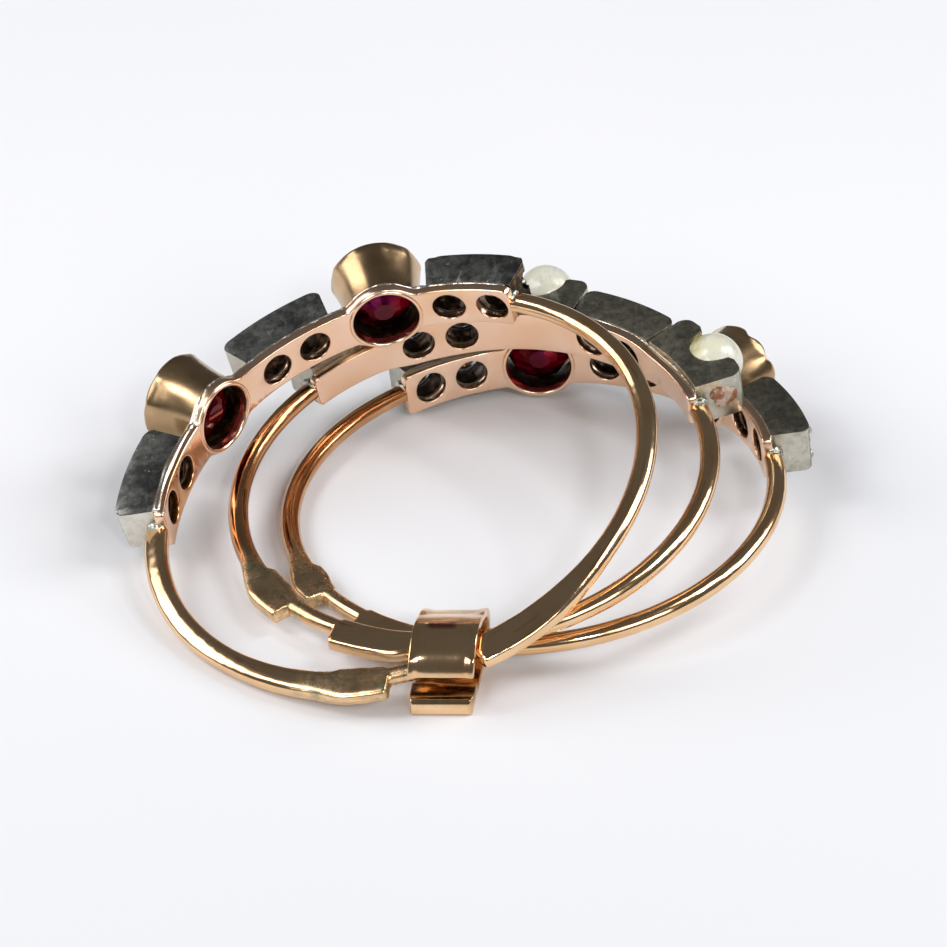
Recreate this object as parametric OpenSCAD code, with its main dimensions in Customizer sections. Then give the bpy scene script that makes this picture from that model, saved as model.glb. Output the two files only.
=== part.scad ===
// Ruby ring of three gold hoops that one collar at the back links together.
// It lies on its side, fanned open. The origin is on the floor, under the collar.
// The hoops are numbered 0 top, 1 middle and 2 bottom. Each is drawn flat in a frame of its own,
// with its head towards +Y, and is then tilted and set in its place.

/* [Hoops] */
// Inner radius of the top, middle and bottom hoop
inner_r = [8.71, 8.43, 8.72]; // [8:0.01:9.5]
// How far each hoop is pulled out of round
pull = [1.1, 0, 0]; // [0:0.05:1.2]
// Direction in which the quarters of a pulled hoop begin, degrees
pull_turn = -32.2; // [-60:0.1:0]
// Thickness of the shank wire across the band
wire_t = 0.74; // [0.65:0.01:0.85]
// Width of the shank wire along the finger
wire_w = 0.66; // [0.55:0.01:0.75]
// Diameter of the round bar that the shank wire is flattened from
wire_round = 0.86; // [0.8:0.01:0.95]

/* [Back bars] */
// Thickness of the flat bars across the band
bar_t = 1.28; // [1.1:0.01:1.35]
// Width of the flat bars along the finger
bar_w = 0.6; // [0.55:0.01:0.7]
// Thickness left in the notched neck between two bars
neck_t = 0.7; // [0.6:0.01:0.8]

/* [Head] */
// Angle from one setting to the next on each hoop, degrees
setting_step = [21.9, 23.5, 23]; // [21:0.1:24]
// Thickness of the pierced back plate
plate_t = 0.38; // [0.3:0.01:0.5]
// Width of the back plate along the finger
plate_w = 1.76; // [1.6:0.01:1.9]
// Width of the middle hoop's plate under its outer pearl cups
plate_end_w = 1.3; // [1:0.01:1.5]
// Length of plate that shows past the last setting at each end
plate_tail = 0.25; // [0.15:0.01:0.5]
// Diameter of the hole behind each small stone
hole_d = 1.24; // [1:0.01:1.3]
// Distance between the two holes of one silver box, along the inner face
hole_pitch = 1.7; // [1.5:0.01:1.9]

/* [Silver boxes and pearl cups] */
// Height of the settings above the inner face of the band
box_top = 1.9; // [1.7:0.01:2.2]
// Width of the settings along the finger
box_w = 1.76; // [1.7:0.01:1.8]
// Half angle of a silver box or pearl cup on each hoop, degrees
box_half = [10.3, 11.2, 10.9]; // [10:0.1:11.3]
// Radius of the rounded outer corners
box_corner = 0.35; // [0.2:0.01:0.5]
// Diameter of the pearls
pearl_d = 2.16; // [1.8:0.01:2.3]
// Diameter of the small white stones
stone_d = 1.54; // [1.3:0.01:1.6]

/* [Ruby cups] */
// Diameter of a ruby cup at the back plate
cup_base_d = 2.86; // [2.7:0.01:3]
// Diameter of a ruby cup at its rim
cup_rim_d = 3.58; // [3.5:0.01:3.65]
// Height of the rim above the inner face of the band
cup_h = 2.52; // [2.4:0.01:2.7]
// Diameter of the hole behind each ruby
ruby_hole_d = 2.5; // [2.3:0.01:2.6]
// Girdle diameter of the rubies
ruby_d = 3.08; // [3:0.01:3.1]

/* [Collar] */
// Width of the collar's strap along the band
collar_w = 2.3; // [2.2:0.01:2.5]
// Thickness of the collar's sheet
collar_t = 0.3; // [0.25:0.01:0.35]
// How far the collar's ends are cut aslant, degrees
collar_slant = 8; // [5:1:15]

/* [Resting place] */
// Centre of the top hoop above the floor
top_centre = [-1.63, 7.3, 3.6]; // [-5:0.01:15]
// Centre of the middle hoop above the floor
middle_centre = [0.98, 8.91, 2.8]; // [-5:0.01:15]
// Centre of the bottom hoop above the floor
bottom_centre = [3.21, 9.7, 1.5]; // [-5:0.01:15]
// How far each hoop is raised at its head, degrees
raise = [14.2, 7.55, 2.05]; // [0:0.1:16]
// How far each hoop leans down to the left, degrees
lean = [12.4, 9.3, 6.5]; // [0:0.1:16]
// How far each hoop is fanned to the left, degrees
fan = [29.2, -16.4, -25.9]; // [-30:0.1:35]

/* [Hidden] */
TOP = 0;
MIDDLE = 1;
BOTTOM = 2;
gap = 0.04;
eps = 0.01;
head_dir = 90;
girdle_t = 0.1;
ruby_sunk = 0.55;
ruby_crown = 0.5;
ruby_waist = 1.2;
ruby_culet = 1.6;
stone_sunk = 0.38;
small_crown = 0.34;
small_waist = 0.3;
small_culet = 0.55;
pearl_seat_d = 2.7;
pearl_seat_low = 0.83;
collar_x = 0.1;
smooth = 96;
centre = [top_centre, middle_centre, bottom_centre];
// Angles round each hoop: first bar from, neck from, neck to, second bar to
bars = [[227, 241.5, 259.5, 272], [221, 237, 252, 272], [227, 239.5, 253, 273]];
// Places along the head, from left to right, that hold a silver box and those that hold something else
box_places = [[0, 2, 4], [1, 3], [0, 2, 4]];
other_places = [[1, 3], [0, 2, 4], [1, 3]];
side_names = ["left", "right"];
row_names = ["left", "middle", "right"];
hoop_names = ["top", "middle", "bottom"];

// A hoop is four quarter arcs. Pulling the hoop moves their centres apart and keeps them tangent.
function quarter_of(h, a) = floor((a - turn_of(h)) / 90);
function turn_of(h) = pull[h] > 0 ? pull_turn : 0;
function odd(k) = abs(k) % 2 == 1;
function quarter_r(h, k) = inner_r[h] + (odd(k) ? pull[h] : -pull[h]);
function quarter_centre(h, k) = pull[h] * sqrt(2) * [cos(pull_dir(h, k)), sin(pull_dir(h, k))];
function pull_dir(h, k) = turn_of(h) + 90 * k + (odd(k) ? 225 : 45);
function setting_dir(h, place) = head_dir + (2 - place) * setting_step[h];
function mm_to_deg(h, a, len) = len / quarter_r(h, quarter_of(h, a)) * 180 / PI;
function plate_from(h) = setting_dir(h, 4) - box_half[h] - mm_to_deg(h, setting_dir(h, 4), plate_tail);
function plate_to(h) = setting_dir(h, 0) + box_half[h] + mm_to_deg(h, setting_dir(h, 0), plate_tail);
function hole_dir(h, place, side) =
    setting_dir(h, place) - side * mm_to_deg(h, setting_dir(h, place), hole_pitch / 2);
function arc(middle, r, a, b, n) =
    [for (i = [0 : n]) middle + r * [cos(a + (b - a) * i / n), sin(a + (b - a) * i / n)]];

module place_hoop(h) {
    translate(centre[h]) rotate([raise[h], -lean[h], 0]) rotate(fan[h]) children();
}

// Sweeps a flat outline along the band. The outline's X is measured outwards from the inner face.
module along(h, from, to) {
    for (k = [-1 : 4]) {
        first = turn_of(h) + 90 * k;
        a = max(from, first);
        b = min(to, first + 90);
        if (b > a)
            translate(quarter_centre(h, k))
                rotate_extrude(angle = b - a, start = a, $fn = smooth)
                    translate([quarter_r(h, k), 0]) children();
    }
}

// Sets a piece on the inner face at one angle: its X points outwards, its Y along the band.
module at_angle(h, a) {
    k = quarter_of(h, a);
    translate(quarter_centre(h, k)) rotate(a) translate([quarter_r(h, k), 0, 0]) children();
}

// Sets a piece on the inner face at one angle with its Z pointing outwards.
module standing(h, a) {
    at_angle(h, a) rotate([0, 90, 0]) children();
}

module band(h, from, to, thick, width) {
    along(h, from, to) translate([0, -width / 2]) square([thick, width]);
}

// The wire starts beside the outer settings, on the tails of the back plate.
module shank_wire(h) {
    lap = plate_tail - gap;
    from = plate_to(h) - mm_to_deg(h, plate_to(h), lap);
    to = 360 + plate_from(h) + mm_to_deg(h, plate_from(h), lap);
    along(h, from, to)
        translate([wire_t / 2, 0])
            intersection() {
                circle(d = wire_round, $fn = smooth);
                square([wire_t, wire_w], center = true);
            }
}

module back_bars(h) {
    b = bars[h];
    band(h, b[0], b[1], bar_t, bar_w);
    band(h, b[2], b[3], bar_t, bar_w);
}

module neck_cut(h) {
    b = bars[h];
    along(h, b[1], b[2]) translate([neck_t, -wire_round / 2]) square([bar_t, wire_round]);
}

module back_plate(h) {
    if (h == MIDDLE) {
        reach = 1.5 * setting_step[h];
        band(h, head_dir - reach, head_dir + reach, plate_t, plate_w);
        band(h, plate_from(h), plate_to(h), plate_t, plate_end_w);
    } else {
        band(h, plate_from(h), plate_to(h), plate_t, plate_w);
    }
}

module ruby_cup_body() {
    cylinder(h = cup_h, d1 = cup_base_d, d2 = cup_rim_d, $fn = smooth);
}

module ruby_cup_hollow() {
    girdle_h = cup_h - ruby_sunk;
    seat_d = ruby_d + 2 * gap;
    translate([0, 0, -plate_t]) cylinder(h = 2 * plate_t + eps, d = ruby_hole_d, $fn = smooth);
    translate([0, 0, plate_t])
        cylinder(h = girdle_h - plate_t, d1 = ruby_hole_d, d2 = seat_d, $fn = smooth);
    translate([0, 0, girdle_h - eps]) cylinder(h = cup_h, d = seat_d, $fn = smooth);
}

module gold_hoop(h) {
    color("#d99a6c") place_hoop(h) difference() {
        union() {
            back_plate(h);
            shank_wire(h);
            back_bars(h);
            if (h != MIDDLE)
                for (p = other_places[h]) standing(h, setting_dir(h, p)) ruby_cup_body();
        }
        neck_cut(h);
        if (h != MIDDLE)
            for (p = other_places[h]) standing(h, setting_dir(h, p)) ruby_cup_hollow();
        for (p = box_places[h])
            for (side = [-1, 1])
                standing(h, hole_dir(h, p, side)) translate([0, 0, -plate_t])
                    cylinder(h = 3 * plate_t, d = hole_d, $fn = smooth);
    }
}

// Wedge with rounded outer corners, lying in the plane of the hoop, its base bent round the plate.
module setting_block(h, a) {
    r = quarter_r(h, quarter_of(h, a));
    y_top = (r + box_top) * tan(box_half[h]);
    y_low = r * tan(box_half[h]);
    c = box_corner;
    right_corner = arc([box_top - c, c - y_top], c, -90, 0, 4);
    left_corner = arc([box_top - c, y_top - c], c, 0, 90, 4);
    outline = concat([[0, -y_low]], right_corner, left_corner, [[0, y_low]]);
    at_angle(h, a) linear_extrude(height = box_w, center = true) difference() {
        polygon(outline);
        translate([-r, 0]) circle(r = r + plate_t + gap, $fn = smooth);
    }
}

// Seat of a small stone: a hole right through, a cone under the pavilion and a wider mouth above it.
module stone_seat() {
    girdle_h = box_top - stone_sunk;
    seat_d = stone_d + 2 * gap;
    cone_h = small_waist + gap;
    cylinder(h = 2 * box_top, d = hole_d, $fn = smooth);
    translate([0, 0, girdle_h - cone_h]) cylinder(h = cone_h, d1 = hole_d, d2 = seat_d, $fn = smooth);
    translate([0, 0, girdle_h - eps]) cylinder(h = box_top, d = seat_d, $fn = smooth);
}

module silver_box(h, place) {
    color("#5d5d58") place_hoop(h) difference() {
        setting_block(h, setting_dir(h, place));
        for (side = [-1, 1])
            standing(h, hole_dir(h, place, side)) stone_seat();
    }
}

module pearl_cup(place) {
    color("#6a6a63") place_hoop(MIDDLE) difference() {
        setting_block(MIDDLE, setting_dir(MIDDLE, place));
        standing(MIDDLE, setting_dir(MIDDLE, place)) translate([0, 0, pearl_seat_low + pearl_seat_d / 2])
            sphere(d = pearl_seat_d, $fn = smooth);
    }
}

module pearl(place) {
    color("#ece8dc") place_hoop(MIDDLE) standing(MIDDLE, setting_dir(MIDDLE, place))
        translate([0, 0, pearl_seat_low + gap + pearl_d / 2]) sphere(d = pearl_d, $fn = smooth);
}

// Faceted stone with a table, its girdle at height 0: a crown above it, two slopes of pavilion below.
module cut_stone(d, sides, crown, waist, culet) {
    table_d = 0.56 * d;
    waist_d = 0.72 * d;
    culet_d = 0.26 * d;
    translate([0, 0, -culet]) cylinder(h = culet - waist, d1 = culet_d, d2 = waist_d, $fn = sides);
    translate([0, 0, -waist]) cylinder(h = waist, d1 = waist_d, d2 = d, $fn = sides);
    cylinder(h = girdle_t, d = d, $fn = sides);
    translate([0, 0, girdle_t]) cylinder(h = crown, d1 = d, d2 = table_d, $fn = sides);
}

module ruby(h, place) {
    color("#7d0f22") place_hoop(h) standing(h, setting_dir(h, place)) translate([0, 0, cup_h - ruby_sunk])
        cut_stone(ruby_d, 10, ruby_crown, ruby_waist, ruby_culet);
}

module small_stone(h, number) {
    place = box_places[h][floor((number - 1) / 2)];
    side = number % 2 == 1 ? -1 : 1;
    color("#e9edf0") place_hoop(h) standing(h, hole_dir(h, place, side))
        translate([0, 0, box_top - stone_sunk])
            cut_stone(stone_d, 8, small_crown, small_waist, small_culet);
}

// Middle line of the collar's sheet from its top lip to its bottom lip, as distance and height.
collar_line = [[-2.05, 1.45], [-2.05, 2.2], [-1.85, 2.52], [-1.45, 2.72], [-0.6, 2.7], [0.4, 2.46],
    [1.1, 2.14], [1.7, 1.8], [2.12, 1.35], [2.25, 0.8], [2.2, 0.35], [2, 0.15], [-1.05, 0.15]];
// Corners of the thick lower lip that the sheet ends in
lip = [[-2.1, 0], [-2.1, 0.72], [-1.05, 0.72]];

function unit(v) = v / norm(v);
function way(line, i) = unit(line[min(i, len(line) - 2) + 1] - line[min(i, len(line) - 2)]);
function way_mid(line, i) = unit(way(line, max(i - 1, 0)) + way(line, i));
function side_point(line, i, off) =
    line[i] + off * [-way_mid(line, i)[1], way_mid(line, i)[0]] / (way_mid(line, i) * way(line, i));
function side_line(line, off) = [for (i = [0 : len(line) - 1]) side_point(line, i, off)];
function back_to_front(line) = [for (i = [len(line) - 1 : -1 : 0]) line[i]];

// The ends are cut by two slanting lines, seen from above.
module collar() {
    reach = 3;
    slant = reach * tan(collar_slant);
    color("#cf9a63") intersection() {
        rotate([90, 0, 90]) linear_extrude(height = 2 * reach, center = true)
            polygon(concat(side_line(collar_line, collar_t / 2), lip,
                back_to_front(side_line(collar_line, -collar_t / 2))));
        translate([collar_x, 0, -eps]) linear_extrude(height = reach)
            polygon([[-collar_w / 2 - slant, -reach], [collar_w / 2 - slant, -reach],
                [collar_w / 2 + slant, reach], [-collar_w / 2 + slant, reach]]);
    }
}

collar();
gold_hoop(TOP);  // top_hoop
gold_hoop(MIDDLE);  // middle_hoop
gold_hoop(BOTTOM);  // bottom_hoop
silver_box(MIDDLE, 1);  // middle_box_left
silver_box(MIDDLE, 3);  // middle_box_right
for (h = [TOP, BOTTOM])
    for (i = [0 : 2])
        silver_box(h, box_places[h][i]);
for (i = [0 : 2]) {
    pearl_cup(other_places[MIDDLE][i]);
    pearl(other_places[MIDDLE][i]);
}
for (h = [TOP, BOTTOM])
    for (i = [0 : 1])
        ruby(h, other_places[h][i]);
for (h = [TOP, MIDDLE, BOTTOM])
    for (n = [1 : 2 * len(box_places[h])])
        small_stone(h, n);
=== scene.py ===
import math
import bmesh
import bpy
from mathutils import Euler, Matrix, Vector, noise


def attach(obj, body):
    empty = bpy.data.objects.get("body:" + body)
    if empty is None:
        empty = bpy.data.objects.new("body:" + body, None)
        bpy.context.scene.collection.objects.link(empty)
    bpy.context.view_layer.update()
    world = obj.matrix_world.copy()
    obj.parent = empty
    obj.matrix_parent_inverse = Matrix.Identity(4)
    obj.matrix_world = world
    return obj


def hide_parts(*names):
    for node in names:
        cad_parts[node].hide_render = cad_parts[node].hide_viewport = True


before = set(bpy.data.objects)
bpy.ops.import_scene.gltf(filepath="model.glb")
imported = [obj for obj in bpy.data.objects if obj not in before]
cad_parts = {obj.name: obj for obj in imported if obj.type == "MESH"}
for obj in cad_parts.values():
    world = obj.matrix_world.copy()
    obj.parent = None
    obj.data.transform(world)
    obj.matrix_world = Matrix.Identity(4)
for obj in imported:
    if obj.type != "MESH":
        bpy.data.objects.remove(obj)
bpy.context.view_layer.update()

MM = 0.001
TOP, MIDDLE, BOTTOM = 0, 1, 2
HOOPS = (TOP, MIDDLE, BOTTOM)
BODIES = ["top", "middle", "bottom"]
SIDE_NAMES = ["left", "right"]
ROW_NAMES = ["left", "middle", "right"]

# Sizes that the solids have, in millimetres and degrees
HOOP_CENTRE = [(-1.63, 7.3, 3.6), (0.98, 8.91, 2.8), (3.21, 9.7, 1.5)]
HOOP_RAISE = [14.2, 7.55, 2.05]
HOOP_LEAN = [12.4, 9.3, 6.5]
HOOP_FAN = [29.2, -16.4, -25.9]
INNER_R = [8.71, 8.43, 8.72]
PULL = [1.1, 0, 0]
PULL_TURN = [-32.2, 0, 0]
HEAD_DIR = 90
SETTING_STEP = [21.9, 23.5, 23]
BOX_HALF = [10.3, 11.2, 10.9]
BOX_PLACES = [(0, 2, 4), (1, 3), (0, 2, 4)]
CUP_PLACES = [(1, 3), (0, 2, 4), (1, 3)]
# Where the first bar starts, the neck starts, the neck ends and the second bar ends
BARS = [(227, 241.5, 259.5, 272), (221, 237, 252, 272), (227, 239.5, 253, 273)]
WIRE_T, WIRE_W = (0.8, 0.75, 0.75), 0.69
BAR_T, BAR_W = 1.28, 0.6
NECK_T = 0.7
PLATE_T, PLATE_W, PLATE_END_W, PLATE_TAIL = 0.38, 1.76, 1.3, 0.25
HOLE_D, HOLE_PITCH = 1.24, 1.7
RUBY_HOLE_D = 2.5
CUP_BASE_D, CUP_RIM_D, CUP_H = 2.86, 3.58, 2.52
RUBY_D, RUBY_SUNK = 3.08, 0.55
BOX_TOP = 1.9
PEARL_D, PEARL_SEAT_D, PEARL_SEAT_LOW = 2.16, 2.7, 0.83
STONE_D = 1.54
GAP = 0.04
COLLAR_W, COLLAR_T, COLLAR_SLANT, COLLAR_X = 2.3, 0.3, 8, 0.1

# The collar's shape as it is drawn here: the middle line of the strap and the block of its lower lip
COLLAR_LINE = [(-2.02, 1.66), (-1.91, 1.98), (-1.68, 2.34), (-1.32, 2.6), (-0.85, 2.72), (-0.35, 2.66),
               (0.2, 2.46), (0.75, 2.2), (1.25, 1.98), (1.72, 1.7), (2.1, 1.32), (2.25, 0.8), (2.2, 0.35),
               (2, 0.15)]
COLLAR_LIP = [(-1.95, 0), (-2.08, 0.07), (-2.12, 0.26), (-2.1, 0.5), (-2.02, 0.65), (-1.84, 0.72),
              (-1.05, 0.72), (-1.0, 0.3)]
# What the lights aim at
RING_MIDDLE = (1, 10, 3)
# Height above the inner face of the painted shade behind the small stones' points
STONE_SHADE_H = 0.85
# A place far from the ring, for a painted reflection, shade or highlight that a material goes without
NOWHERE = [(0, 0, -50)]


# Places round a hoop

def hoop_frame(h):
    """The turn and shift from a hoop's own flat frame to the part's frame, in millimetres."""
    turn = Matrix.Rotation(math.radians(-HOOP_LEAN[h]), 4, "Y")
    turn = turn @ Matrix.Rotation(math.radians(HOOP_RAISE[h]), 4, "X")
    turn = turn @ Matrix.Rotation(math.radians(HOOP_FAN[h]), 4, "Z")
    return Matrix.Translation(HOOP_CENTRE[h]) @ turn


FRAMES = [hoop_frame(h) for h in HOOPS]


def quarter(h, angle):
    """Radius and centre of the quarter arc that holds an angle, in the hoop's own frame."""
    k = math.floor((angle - PULL_TURN[h]) / 90)
    odd = k % 2 == 1
    radius = INNER_R[h] + (PULL[h] if odd else -PULL[h])
    way = math.radians(PULL_TURN[h] + 90 * k + (225 if odd else 45))
    reach = PULL[h] * math.sqrt(2)
    return radius, Vector((reach * math.cos(way), reach * math.sin(way), 0))


def bent(h, angle, out, across):
    """The point at an angle of a hoop, out from its inner face and across its width."""
    radius, centre = quarter(h, angle)
    a = math.radians(angle)
    flat = Vector(((radius + out) * math.cos(a), (radius + out) * math.sin(a), across))
    return FRAMES[h] @ (centre + flat)


def standing(h, angle):
    """A frame on the inner face at one angle: Z points outwards and Y along the band."""
    radius, centre = quarter(h, angle)
    place = Matrix.Translation(centre) @ Matrix.Rotation(math.radians(angle), 4, "Z")
    place = place @ Matrix.Translation((radius, 0, 0)) @ Matrix.Rotation(math.radians(90), 4, "Y")
    return FRAMES[h] @ place


def head_length(h, angle):
    """Length along the inner face from the middle of the head, to the left."""
    edge = PULL_TURN[h] + 90
    upper, lower = quarter(h, edge + 1)[0], quarter(h, edge - 1)[0]
    return math.radians(max(angle, edge) - HEAD_DIR) * upper - math.radians(max(edge - angle, 0)) * lower


def head_angle(h, length):
    """The angle at a length along the inner face from the middle of the head."""
    edge = PULL_TURN[h] + 90
    upper, lower = quarter(h, edge + 1)[0], quarter(h, edge - 1)[0]
    turn = math.radians(edge - HEAD_DIR) * upper
    if length >= turn:
        return HEAD_DIR + math.degrees(length / upper)
    return edge + math.degrees((length - turn) / lower)


def setting_angle(h, place):
    """The angle of one of a hoop's five settings, counted from the left."""
    return HEAD_DIR + (2 - place) * SETTING_STEP[h]


def hole_angle(h, place, side):
    """The angle of the left (-1) or right (1) stone in a silver box."""
    angle = setting_angle(h, place)
    return angle - side * math.degrees(HOLE_PITCH / 2 / quarter(h, angle)[0])


def at_setting(h, place):
    """A standing frame in the middle of a setting."""
    return standing(h, setting_angle(h, place))


def at_hole(h, place, side):
    """A standing frame under one stone of a silver box."""
    return standing(h, hole_angle(h, place, side))


def head_end(h, side, past=0):
    """The angle at the left (-1) or right (1) end of the settings, and a length past it."""
    angle = setting_angle(h, 2 + 2 * side) - side * BOX_HALF[h]
    return angle - side * math.degrees(past / quarter(h, angle)[0])


def rise(x, start, soft):
    """0 well below start, 1 well above it and smooth over soft, half way at start itself."""
    t = min(max((x - start) / soft + 0.5, 0), 1)
    return t * t * (3 - 2 * t)


def blend(a, b, t):
    return a + (b - a) * t


def wander(point, size):
    """Smooth noise from -1 to 1 whose lumps are about size millimetres across."""
    return noise.noise(point / size)


# Camera and lights

def into_scene(thing):
    """Links an object to the scene."""
    bpy.context.scene.collection.objects.link(thing)
    return thing


def set_camera():
    """The photo's viewpoint: 36 degrees above the floor, 140 mm from the collar."""
    height, distance, lens = 36, 140, 150.2
    look_up, look_right = 3.01, 0.397
    cam = into_scene(bpy.data.objects.new("camera", bpy.data.cameras.new("camera")))
    bpy.context.scene.camera = cam
    cam.data.lens = lens
    cam.data.clip_start = 0.005
    cam.data.clip_end = 5
    e = math.radians(height)
    cam.location = Vector((0, -math.cos(e), math.sin(e))) * distance * MM
    aim = Euler((math.radians(90) - e, 0, 0)).to_matrix()
    nudge = Euler((math.radians(look_up), math.radians(-look_right), 0)).to_matrix()
    cam.rotation_euler = (aim @ nudge).to_euler()


def soft_light(name, place, size, power, tint):
    """A square soft box that faces the middle of the ring: place and size in millimetres, power in watts."""
    data = bpy.data.lights.new(name, "AREA")
    data.size = size * MM
    data.energy = power
    data.color = tint
    lamp = into_scene(bpy.data.objects.new(name, data))
    lamp.location = Vector(place) * MM
    middle = Vector(RING_MIDDLE) * MM
    lamp.rotation_euler = (middle - lamp.location).to_track_quat("-Z", "Y").to_euler()


def set_lights():
    """Large soft boxes at the sides, in front and high up, small ones for the glints, and a dim grey room."""
    white, warm, cool = (1, 1, 1), (1, 0.99, 0.97), (0.98, 0.99, 1)
    soft_light("left", (-330, 60, 195), 270, 0.72, warm)
    soft_light("right", (325, 90, 215), 180, 0.54, cool)
    soft_light("front_left", (-200, -260, 235), 160, 0.4, white)
    soft_light("front_right", (220, -260, 235), 160, 0.36, white)
    soft_light("high_left", (-220, -60, 330), 130, 0.3, white)
    soft_light("high_right", (220, 20, 330), 130, 0.29, white)
    soft_light("glint_front", (82, -304, 246), 42, 0.26, white)
    soft_light("glint_right", (261, -38, 303), 14, 0.05, white)
    world = bpy.data.worlds.new("room")
    bpy.context.scene.world = world
    world.use_nodes = True
    room = world.node_tree.nodes["Background"]
    room.inputs["Color"].default_value = (0.5, 0.5, 0.51, 1)
    room.inputs["Strength"].default_value = 0.2


# Shader maths

class Value:
    """A shader socket that takes Python's own operators."""

    def __init__(self, recipe, socket):
        self.recipe = recipe
        self.socket = socket

    def maths(self, operation, *others):
        inputs = {0: self}
        inputs.update(enumerate(others, 1))
        return self.recipe.add("ShaderNodeMath", {"operation": operation}, inputs, 0)

    def __add__(self, other):
        return self.maths("ADD", other)

    def __mul__(self, other):
        return self.maths("MULTIPLY", other)

    def __rsub__(self, other):
        return self.maths("MULTIPLY", -1) + other

    __radd__ = __add__
    __rmul__ = __mul__

    def larger(self, other):
        return self.maths("MAXIMUM", other)

    def step(self, low, high):
        """0 below low, 1 above high and smooth between them."""
        return self.recipe.add("ShaderNodeMapRange", {"interpolation_type": "SMOOTHSTEP"},
                               {"Value": self, "From Min": low, "From Max": high}, 0)


class Recipe:
    """One material. Every node comes from add."""

    def __init__(self, name):
        self.material = bpy.data.materials.new(name)
        self.material.use_nodes = True
        self.tree = self.material.node_tree
        self.tree.nodes.clear()
        self.place = self.add("ShaderNodeTexCoord", {}, {}, "Object")

    def add(self, kind, settings, inputs, out=None):
        """A node, or the Value of its output out, from its settings and the values or links of its inputs."""
        made = self.tree.nodes.new(kind)
        for key, value in settings.items():
            setattr(made, key, value)
        for key, value in inputs.items():
            if isinstance(value, Value):
                self.tree.links.new(value.socket, made.inputs[key])
            else:
                made.inputs[key].default_value = value
        return made if out is None else Value(self, made.outputs[out])

    def along(self):
        """The piece's own map: metres along the band and metres round or across it."""
        return self.add("ShaderNodeUVMap", {"uv_map": "along"}, {}, 0)

    def noise(self, size, detail=3, roughness=0.5, stretch=(1, 1, 1), turn=(0, 0, 0), place=None):
        """Noise whose lumps are about size millimetres across, from 0 to 1."""
        spot = self.add("ShaderNodeMapping", {}, {"Vector": place or self.place, "Scale": stretch,
                                                  "Rotation": turn}, 0)
        return self.add("ShaderNodeTexNoise", {}, {"Vector": spot, "Scale": 1000 / size, "Detail": detail,
                                                   "Roughness": roughness}, 0)

    def near(self, point, reach, soft):
        """1 within reach of a point, fading over soft, in millimetres."""
        away = self.add("ShaderNodeVectorMath", {"operation": "DISTANCE"},
                        {0: self.place, 1: tuple(c * MM for c in point)}, "Value")
        return 1 - away.step((reach - soft / 2) * MM, (reach + soft / 2) * MM)

    def near_any(self, points, reach, soft):
        mask = self.near(points[0], reach, soft)
        for point in points[1:]:
            mask = mask.larger(self.near(point, reach, soft))
        return mask

    def mix(self, factor, a, b):
        return self.add("ShaderNodeMix", {"data_type": "RGBA"}, {0: factor, 6: a, 7: b}, 2)

    def bump(self, height, strength, distance):
        return self.add("ShaderNodeBump", {}, {"Height": height, "Strength": strength,
                                               "Distance": distance * MM}, 0)

    def finish(self, **sockets):
        """The shader and the output. A socket's name is written with underscores for its spaces."""
        inputs = {key.replace("_", " "): value for key, value in sockets.items()}
        shader = self.add("ShaderNodeBsdfPrincipled", {}, inputs, 0)
        self.add("ShaderNodeOutputMaterial", {}, {"Surface": shader})
        return self.material


def rgb(r, g, b):
    return (r, g, b, 1)


# Gold finishes

def plate_gold(coppery):
    """Pale satin rose gold: fine scratches along the band, a few darker smudges and a coppery end."""
    m = Recipe("plate_gold")
    rose, deeper_rose = rgb(0.95, 0.67, 0.49), rgb(0.91, 0.58, 0.37)
    copper, smudged = rgb(0.75, 0.38, 0.16), rgb(0.6, 0.34, 0.22)
    scratches = m.noise(0.07, 3, 0.6, stretch=(0.04, 1, 1), place=m.along())
    clouds = m.noise(2.4, 3)
    smudge = m.noise(0.9, 4, 0.65)
    colour = m.mix(clouds.step(0.3, 0.7), rose, deeper_rose)
    colour = m.mix(m.near_any(coppery, 1.4, 1.6) * (0.4 + clouds * 0.9), colour, copper)
    colour = m.mix(smudge.step(0.62, 0.8) * 0.5, colour, smudged)
    rough = 0.12 + scratches * 0.14 + clouds * 0.06
    return m.finish(Base_Color=colour, Metallic=1.0, Roughness=rough, Normal=m.bump(scratches, 0.14, 0.008))


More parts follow.
